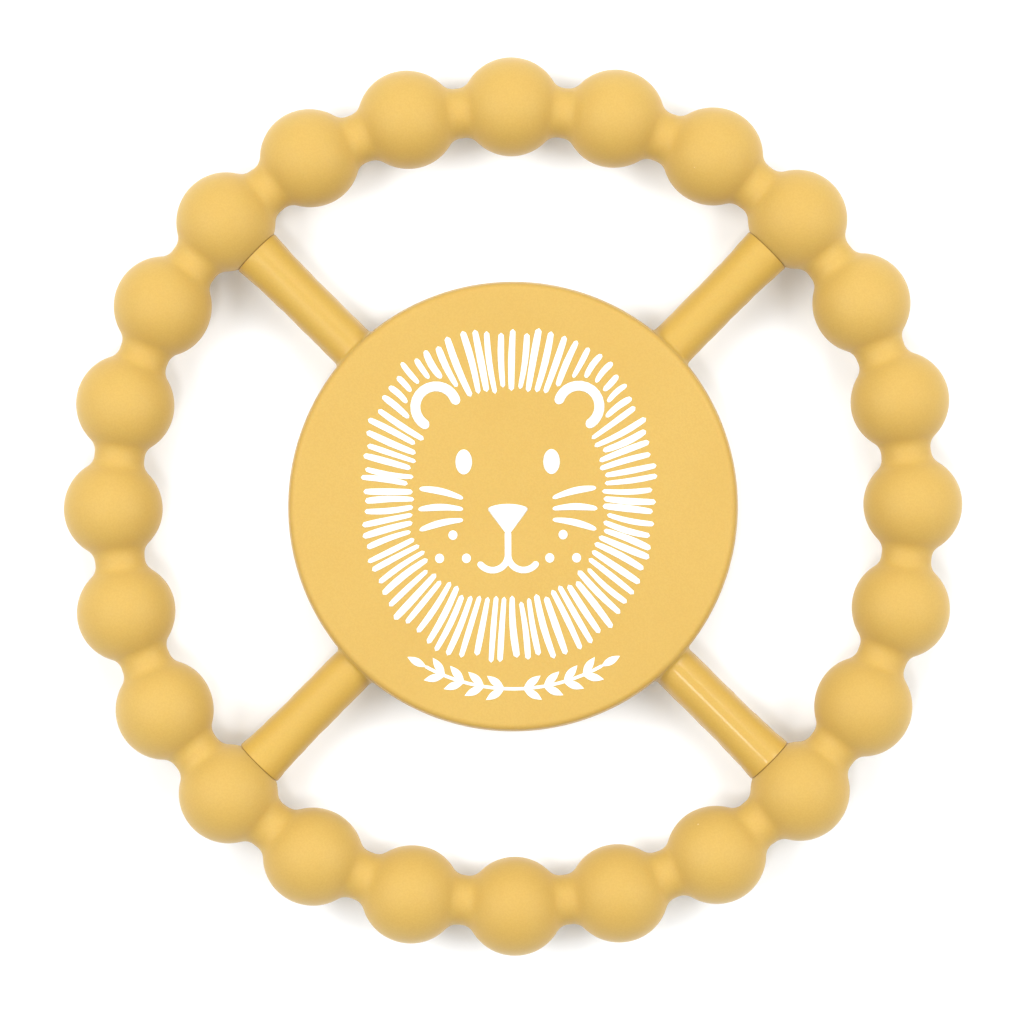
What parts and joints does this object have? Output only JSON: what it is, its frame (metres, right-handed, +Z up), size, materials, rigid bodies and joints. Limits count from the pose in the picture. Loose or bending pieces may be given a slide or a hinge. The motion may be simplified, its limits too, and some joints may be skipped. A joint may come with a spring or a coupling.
{
  "type": "teething ring",
  "caption": "Flat silicone teething ring: a round of soft beads joined by necks, held by slim spokes to a central disc with a simple printed animal face.",
  "frame": {"origin": "under the centre of the disc, on the surface that the beads rest on", "axes": "+Z up, out of the printed face; +Y to the top of the printed picture; +X to its right"},
  "size_m": [0.105, 0.105, 0.0115],
  "materials": {
    "ring_silicone": "matte moulded silicone, mustard yellow",
    "disc_silicone": "matte moulded silicone, mustard yellow",
    "spoke_silicone": "satin moulded silicone, mustard yellow",
    "print_ink": "white silicone ink, printed"
  },
  "bodies": {
    "root": {"bead_ring": "ring_silicone", "hub_disc": "disc_silicone", "spoke_top_right": "spoke_silicone", "spoke_top_left": "spoke_silicone", "spoke_bottom_left": "spoke_silicone", "spoke_bottom_right": "spoke_silicone", "mane_print": "print_ink", "ear_print": "print_ink", "eye_print": "print_ink", "nose_and_mouth_print": "print_ink", "whisker_print": "print_ink", "freckle_print": "print_ink", "leaf_print": "print_ink"}
  },
  "joints": []
}
